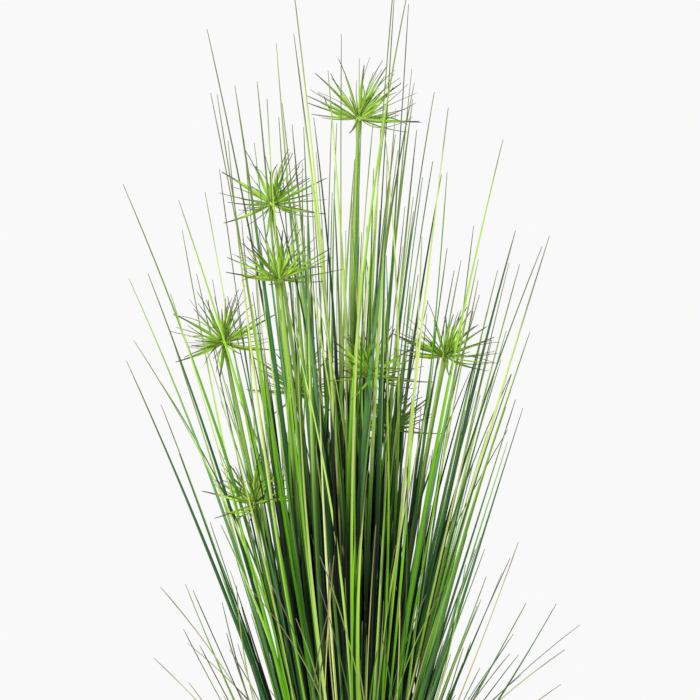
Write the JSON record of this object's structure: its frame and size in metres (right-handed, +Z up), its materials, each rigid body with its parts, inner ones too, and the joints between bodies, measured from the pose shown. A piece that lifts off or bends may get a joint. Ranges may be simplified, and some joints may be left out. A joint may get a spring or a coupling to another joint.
{
  "type": "potted papyrus plant",
  "caption": "Tall potted papyrus plant: slim stems with umbrella heads of fine rays above long arching grass blades, in a plain round pot.",
  "frame": {"origin": "centre of the pot's flat underside", "axes": "+Z up along the pot's axis, -Y towards the front"},
  "size_m": [0.534, 0.4364, 1.155],
  "materials": {
    "pot": "fine matt moulded surface",
    "soil": "rough and crumbly",
    "stem": "satin, finely ribbed lengthwise",
    "head": "satin, with brown and purple ray tips",
    "deep_blade": "satin, ribbed lengthwise, with a brown tip",
    "lime_blade": "satin, ribbed lengthwise, with a brown tip",
    "pale_blade": "satin, ribbed lengthwise, with a brown tip",
    "straw_blade": "matt, dry"
  },
  "bodies": {
    "root": {"deep_tuft_01": "deep_blade", "deep_tuft_02": "deep_blade", "deep_tuft_03": "deep_blade", "deep_tuft_04": "deep_blade", "deep_tuft_05": "deep_blade", "deep_tuft_06": "deep_blade", "deep_tuft_07": "deep_blade", "deep_tuft_08": "deep_blade", "deep_tuft_09": "deep_blade", "deep_tuft_10": "deep_blade", "deep_tuft_11": "deep_blade", "deep_tuft_12": "deep_blade", "deep_tuft_13": "deep_blade", "deep_tuft_14": "deep_blade", "deep_tuft_15": "deep_blade", "deep_tuft_16": "deep_blade", "deep_tuft_17": "deep_blade", "deep_tuft_18": "deep_blade", "deep_tuft_19": "deep_blade", "deep_tuft_20": "deep_blade", "lime_tuft_01": "lime_blade", "lime_tuft_02": "lime_blade", "lime_tuft_03": "lime_blade", "lime_tuft_04": "lime_blade", "lime_tuft_05": "lime_blade", "lime_tuft_06": "lime_blade", "lime_tuft_07": "lime_blade", "lime_tuft_08": "lime_blade", "lime_tuft_09": "lime_blade", "lime_tuft_10": "lime_blade", "pale_tuft_01": "pale_blade", "pale_tuft_02": "pale_blade", "papyrus_head_1": "head", "papyrus_head_2": "head", "papyrus_head_3": "head", "papyrus_head_4": "head", "papyrus_head_5": "head", "papyrus_head_6": "head", "papyrus_head_7": "head", "papyrus_head_8": "head", "papyrus_head_9": "head", "papyrus_stem_1": "stem", "papyrus_stem_2": "stem", "papyrus_stem_3": "stem", "papyrus_stem_4": "stem", "papyrus_stem_5": "stem", "papyrus_stem_6": "stem", "papyrus_stem_7": "stem", "papyrus_stem_8": "stem", "papyrus_stem_9": "stem", "pot": "pot", "soil": "soil", "straw_tuft_01": "straw_blade", "straw_tuft_02": "straw_blade", "straw_tuft_03": "straw_blade", "straw_tuft_04": "straw_blade", "straw_tuft_05": "straw_blade", "straw_tuft_06": "straw_blade", "straw_tuft_07": "straw_blade", "straw_tuft_08": "straw_blade"}
  },
  "joints": []
}
